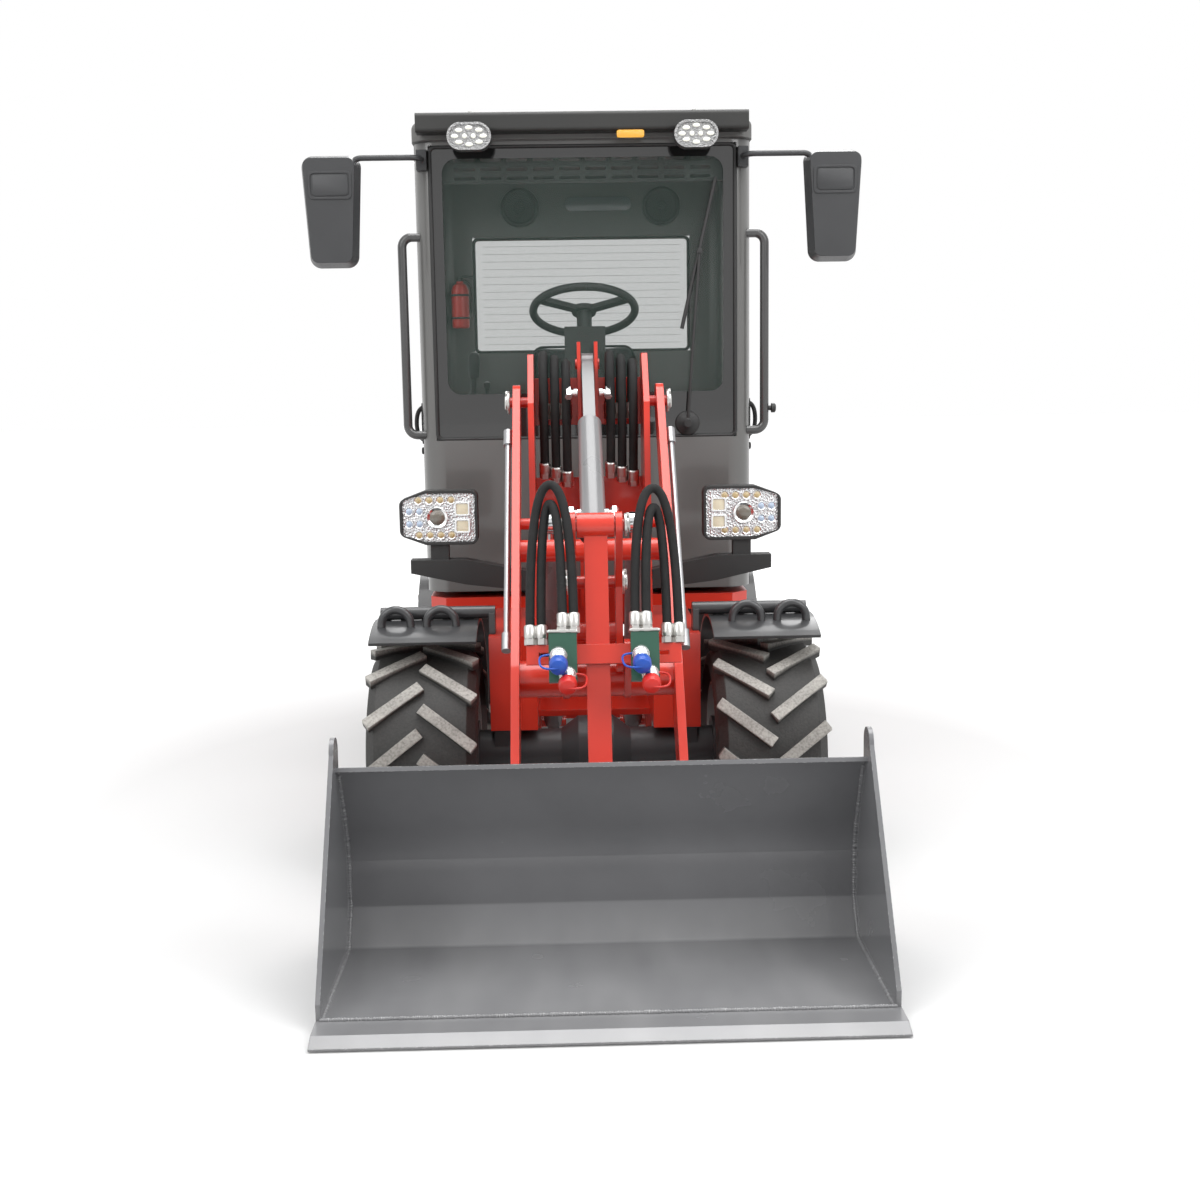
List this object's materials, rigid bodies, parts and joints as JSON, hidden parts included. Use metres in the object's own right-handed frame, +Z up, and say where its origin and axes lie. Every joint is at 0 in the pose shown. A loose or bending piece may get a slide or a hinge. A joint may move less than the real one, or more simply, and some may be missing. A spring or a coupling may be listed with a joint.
{
  "type": "compact articulated wheel loader",
  "caption": "Compact articulated wheel loader with a closed cab, a parallel-lift boom, a quick coupler and an earth bucket on lugged tyres",
  "frame": {"origin": "centre of the ground footprint's box, at the height of the tyres' lowest lugs", "axes": "+Z up, the machine's front faces -Y, +X is the machine's left"},
  "size_m": [1.9672, 3.941, 2.432],
  "materials": {
    "red_paint": "gloss",
    "grey_paint": "gloss",
    "bucket_paint": "gloss",
    "dark_cast": "satin",
    "tyre_rubber": "matte",
    "rim_paint": "gloss",
    "black_plastic": "matte",
    "glass": "clear",
    "seat_fabric": "matte",
    "chrome_rod": "polished",
    "pin_steel": "satin",
    "cylinder_paint": "gloss",
    "lamp_lens": "gloss",
    "hose_rubber": "matte",
    "green_paint": "gloss"
  },
  "bodies": {
    "rear": {"rear_frame": "red_paint", "rear_axle": "dark_cast", "engine_block": "dark_cast", "counterweight": "grey_paint", "step_boxes": "black_plastic", "rear_fenders": "black_plastic", "cab_front": "grey_paint", "cab_rear": "grey_paint", "cab_glass": "glass", "cab_floor": "black_plastic", "cab_roof": "grey_paint", "seat_cushion": "seat_fabric", "seat_back": "seat_fabric", "cab_trim": "black_plastic", "steering_wheel": "black_plastic", "roof_visor": "grey_paint", "work_lamps": "lamp_lens", "mirrors": "black_plastic", "grab_rails": "black_plastic"},
    "hood": {"hood": "red_paint", "hood_grille": "black_plastic"},
    "door_left": {"door_left": "grey_paint", "door_glass_left": "glass"},
    "door_right": {"door_right": "grey_paint", "door_glass_right": "glass"},
    "front": {"front_frame": "red_paint", "front_axle": "dark_cast", "front_fenders": "black_plastic", "headlamps": "lamp_lens", "lamp_brackets": "black_plastic", "tower_hoses": "hose_rubber"},
    "boom": {"boom": "red_paint", "boom_pipes": "pin_steel"},
    "lever": {"lever": "red_paint"},
    "link": {"link": "red_paint", "coupler_blocks": "green_paint", "coupler_hoses": "hose_rubber"},
    "bucket": {"quick_coupler": "red_paint", "bucket_shell": "bucket_paint", "bucket_hooks": "bucket_paint", "bucket_sides": "bucket_paint", "cutting_edge": "bucket_paint"},
    "tilt_barrel": {"tilt_barrel": "cylinder_paint"},
    "tilt_piston": {"tilt_piston": "pin_steel"},
    "tilt_rod": {"tilt_rod": "chrome_rod"},
    "lift_barrels": {"lift_barrels": "cylinder_paint"},
    "lift_rods": {"lift_rods": "chrome_rod"},
    "steer_barrel": {"steer_barrel": "cylinder_paint"},
    "steer_rod": {"steer_rod": "chrome_rod"},
    "wheel_front_left": {"front_left_tyre": "tyre_rubber", "front_left_rim": "rim_paint"},
    "wheel_front_right": {"front_right_tyre": "tyre_rubber", "front_right_rim": "rim_paint"},
    "wheel_rear_left": {"rear_left_tyre": "tyre_rubber", "rear_left_rim": "rim_paint"},
    "wheel_rear_right": {"rear_right_tyre": "tyre_rubber", "rear_right_rim": "rim_paint"}
  },
  "joints": [
    {"name": "articulation", "type": "hinge", "parent": "rear", "child": "front", "pos_m": [0, 0.2455, 0.48], "axis": [0, 0, 1], "range_deg": [-38, 38]},
    {"name": "boom_lift", "type": "hinge", "parent": "front", "child": "boom", "pos_m": [0, -0.1545, 1.44], "axis": [-1, 0, 0], "range_deg": [0, 82]},
    {"name": "bucket_tilt", "type": "hinge", "parent": "boom", "child": "bucket", "pos_m": [0, -1.1975, 0.242], "axis": [1, 0, 0], "range_deg": [-30, 118]},
    {"name": "lever_turn", "type": "hinge", "parent": "boom", "child": "lever", "pos_m": [0, -0.9575, 0.72], "axis": [1, 0, 0], "range_deg": [-16.55, 64.95]},
    {"name": "link_turn", "type": "hinge", "parent": "lever", "child": "link", "pos_m": [0, -1.0315, 1.112], "axis": [1, 0, 0], "range_deg": [-50.79, 12.95]},
    {"name": "tilt_cylinder_turn", "type": "hinge", "parent": "front", "child": "tilt_barrel", "pos_m": [0, -0.0825, 1.566], "axis": [1, 0, 0], "range_deg": [-79.18, 0]},
    {"name": "tilt_piston_slide", "type": "slide", "parent": "tilt_barrel", "child": "tilt_piston", "axis": [0, -0.8068, -0.5908], "range_m": [-0.16079, 0]},
    {"name": "tilt_rod_slide", "type": "slide", "parent": "tilt_piston", "child": "tilt_rod", "axis": [0, -0.8068, -0.5908], "range_m": [-0.05548, 0.21675]},
    {"name": "lift_cylinder_turn", "type": "hinge", "parent": "front", "child": "lift_barrels", "pos_m": [0, -0.0845, 0.32], "axis": [1, 0, 0], "range_deg": [-6.93, 0]},
    {"name": "lift_rod_slide", "type": "slide", "parent": "lift_barrels", "child": "lift_rods", "axis": [0, -0.4472, 0.8944], "range_m": [0, 0.62202]},
    {"name": "steer_cylinder_turn", "type": "hinge", "parent": "rear", "child": "steer_barrel", "pos_m": [0.2, 0.6755, 0.48], "axis": [0, 0, 1], "range_deg": [-9.08, 9.08]},
    {"name": "steer_rod_slide", "type": "slide", "parent": "steer_barrel", "child": "steer_rod", "axis": [0, -1, 0], "range_m": [-0.12886, 0.12886]},
    {"name": "wheel_front_left_spin", "type": "hinge", "parent": "front", "child": "wheel_front_left", "pos_m": [0.53, -0.5795, 0.35], "axis": [1, 0, 0], "continuous": true},
    {"name": "wheel_front_right_spin", "type": "hinge", "parent": "front", "child": "wheel_front_right", "pos_m": [-0.53, -0.5795, 0.35], "axis": [1, 0, 0], "continuous": true},
    {"name": "wheel_rear_left_spin", "type": "hinge", "parent": "rear", "child": "wheel_rear_left", "pos_m": [0.53, 1.0705, 0.35], "axis": [1, 0, 0], "continuous": true},
    {"name": "wheel_rear_right_spin", "type": "hinge", "parent": "rear", "child": "wheel_rear_right", "pos_m": [-0.53, 1.0705, 0.35], "axis": [1, 0, 0], "continuous": true},
    {"name": "door_left_swing", "type": "hinge", "parent": "rear", "child": "door_left", "pos_m": [0.618, 0.883, 1.54], "axis": [0, 0, 1], "range_deg": [0, 100]},
    {"name": "door_right_swing", "type": "hinge", "parent": "rear", "child": "door_right", "pos_m": [-0.618, 0.883, 1.54], "axis": [0, 0, -1], "range_deg": [0, 100]},
    {"name": "hood_lift", "type": "hinge", "parent": "rear", "child": "hood", "pos_m": [0, 1.0005, 1.345], "axis": [1, 0, 0], "range_deg": [0, 55]}
  ],
  "couplings": [
    {"joint": "lever_turn", "follows": "bucket_tilt", "ratio": 0.55},
    {"joint": "link_turn", "follows": "bucket_tilt", "ratio": -0.43},
    {"joint": "tilt_cylinder_turn", "follows": "boom_lift", "ratio": -0.965},
    {"joint": "tilt_piston_slide", "follows": "boom_lift", "m_per_rad": -0.112},
    {"joint": "tilt_rod_slide", "follows": "bucket_tilt", "m_per_rad": 0.105},
    {"joint": "lift_cylinder_turn", "follows": "boom_lift", "ratio": -0.083901},
    {"joint": "lift_rod_slide", "follows": "boom_lift", "m_per_rad": 0.43428},
    {"joint": "steer_cylinder_turn", "follows": "articulation", "ratio": 0.23752},
    {"joint": "steer_rod_slide", "follows": "articulation", "m_per_rad": -0.19355}
  ]
}
